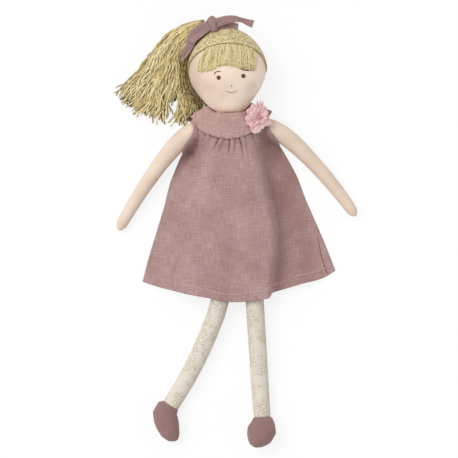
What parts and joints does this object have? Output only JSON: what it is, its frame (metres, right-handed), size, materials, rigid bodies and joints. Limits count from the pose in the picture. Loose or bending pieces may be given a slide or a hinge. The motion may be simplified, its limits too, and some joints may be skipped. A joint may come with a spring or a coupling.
{
  "type": "rag doll",
  "caption": "Soft cloth doll lying on its back: stuffed head, torso and limbs, yarn side ponytail with bow, sleeveless flared dress with round yoke, cloth shoes.",
  "frame": {"origin": "on the flat back of the dress, under the middle of the doll, where it lies on a surface", "axes": "+Y up the body towards the head, +X towards the doll's own left, +Z out of its front; the doll lies on its back on z = 0"},
  "size_m": [0.2428, 0.4321, 0.0583],
  "materials": {
    "calico": "plain woven calico, skin coloured, stuffed",
    "linen": "washed rose linen, plain weave",
    "shoe_cloth": "darker rose ribbed cloth",
    "stocking": "cream knit with gold flecks",
    "yarn": "twisted cotton yarn, straw blond",
    "petal": "pale pink cloth petals",
    "thread": "brown embroidery thread"
  },
  "bodies": {
    "torso": {"torso": "calico", "yoke_front": "linen", "yoke_back": "linen", "dress_front": "linen", "dress_back": "linen", "back_button": "linen", "button_loop": "linen", "flower_backing": "petal", "flower_heart": "petal", "flower_petal_1": "petal", "flower_petal_2": "petal", "flower_petal_3": "petal", "flower_petal_4": "petal", "flower_petal_5": "petal", "flower_petal_6": "petal"},
    "neck": {"neck": "calico"},
    "head": {"head": "calico", "hair_cap": "yarn", "fringe": "yarn", "eye_right": "thread", "eye_left": "thread", "brow_right": "thread", "brow_left": "thread", "nose": "thread", "mouth": "thread", "bow_knot": "linen", "bow_loop_left": "linen", "bow_loop_right": "linen", "bow_tail_left": "linen", "bow_tail_right": "linen"},
    "ponytail": {"ponytail_lock_1": "yarn", "ponytail_lock_2": "yarn", "ponytail_lock_3": "yarn", "ponytail_lock_4": "yarn", "ponytail_lock_5": "yarn", "ponytail_lock_6": "yarn", "ponytail_tie": "yarn"},
    "shoulder_right": {"shoulder_seam_right": "calico"},
    "arm_right": {"arm_right": "calico"},
    "shoulder_left": {"shoulder_seam_left": "calico"},
    "arm_left": {"arm_left": "calico"},
    "hips": {"hip_seam": "calico"},
    "leg_right": {"leg_right": "stocking", "shoe_right": "shoe_cloth"},
    "leg_left": {"leg_left": "stocking", "shoe_left": "shoe_cloth"}
  },
  "joints": [
    {"name": "neck_nod", "type": "hinge", "parent": "torso", "child": "neck", "pos_m": [0, 0.09, 0.02], "axis": [1, 0, 0], "range_deg": [-15, 12], "deforming": ["neck"]},
    {"name": "head_turn", "type": "hinge", "parent": "neck", "child": "head", "pos_m": [0, 0.096, 0.0226], "axis": [0, 1, 0], "range_deg": [-45, 45]},
    {"name": "ponytail_swing", "type": "hinge", "parent": "head", "child": "ponytail", "pos_m": [-0.0219, 0.1818, 0.027], "axis": [0, 0, 1], "range_deg": [-80, 0]},
    {"name": "arm_right_swing", "type": "hinge", "parent": "torso", "child": "shoulder_right", "pos_m": [-0.0394, 0.0775, 0.0175], "axis": [-1, 0, 0], "range_deg": [-30, 90]},
    {"name": "arm_right_raise", "type": "hinge", "parent": "shoulder_right", "child": "arm_right", "pos_m": [-0.0394, 0.0775, 0.0175], "axis": [0, 0, -1], "range_deg": [0, 45]},
    {"name": "arm_left_swing", "type": "hinge", "parent": "torso", "child": "shoulder_left", "pos_m": [0.0394, 0.0775, 0.0175], "axis": [-1, 0, 0], "range_deg": [-30, 90]},
    {"name": "arm_left_raise", "type": "hinge", "parent": "shoulder_left", "child": "arm_left", "pos_m": [0.0394, 0.0775, 0.0175], "axis": [0, 0, 1], "range_deg": [0, 45]},
    {"name": "legs_fold", "type": "hinge", "parent": "torso", "child": "hips", "pos_m": [0, -0.0255, 0.014], "axis": [-1, 0, 0], "range_deg": [0, 90], "deforming": ["dress_front", "dress_back"]},
    {"name": "leg_right_spread", "type": "hinge", "parent": "hips", "child": "leg_right", "pos_m": [-0.01425, -0.0325, 0.014], "axis": [0, 0, -1], "range_deg": [-10, 10]},
    {"name": "leg_left_spread", "type": "hinge", "parent": "hips", "child": "leg_left", "pos_m": [0.01425, -0.0325, 0.014], "axis": [0, 0, 1], "range_deg": [-5, 10]}
  ]
}
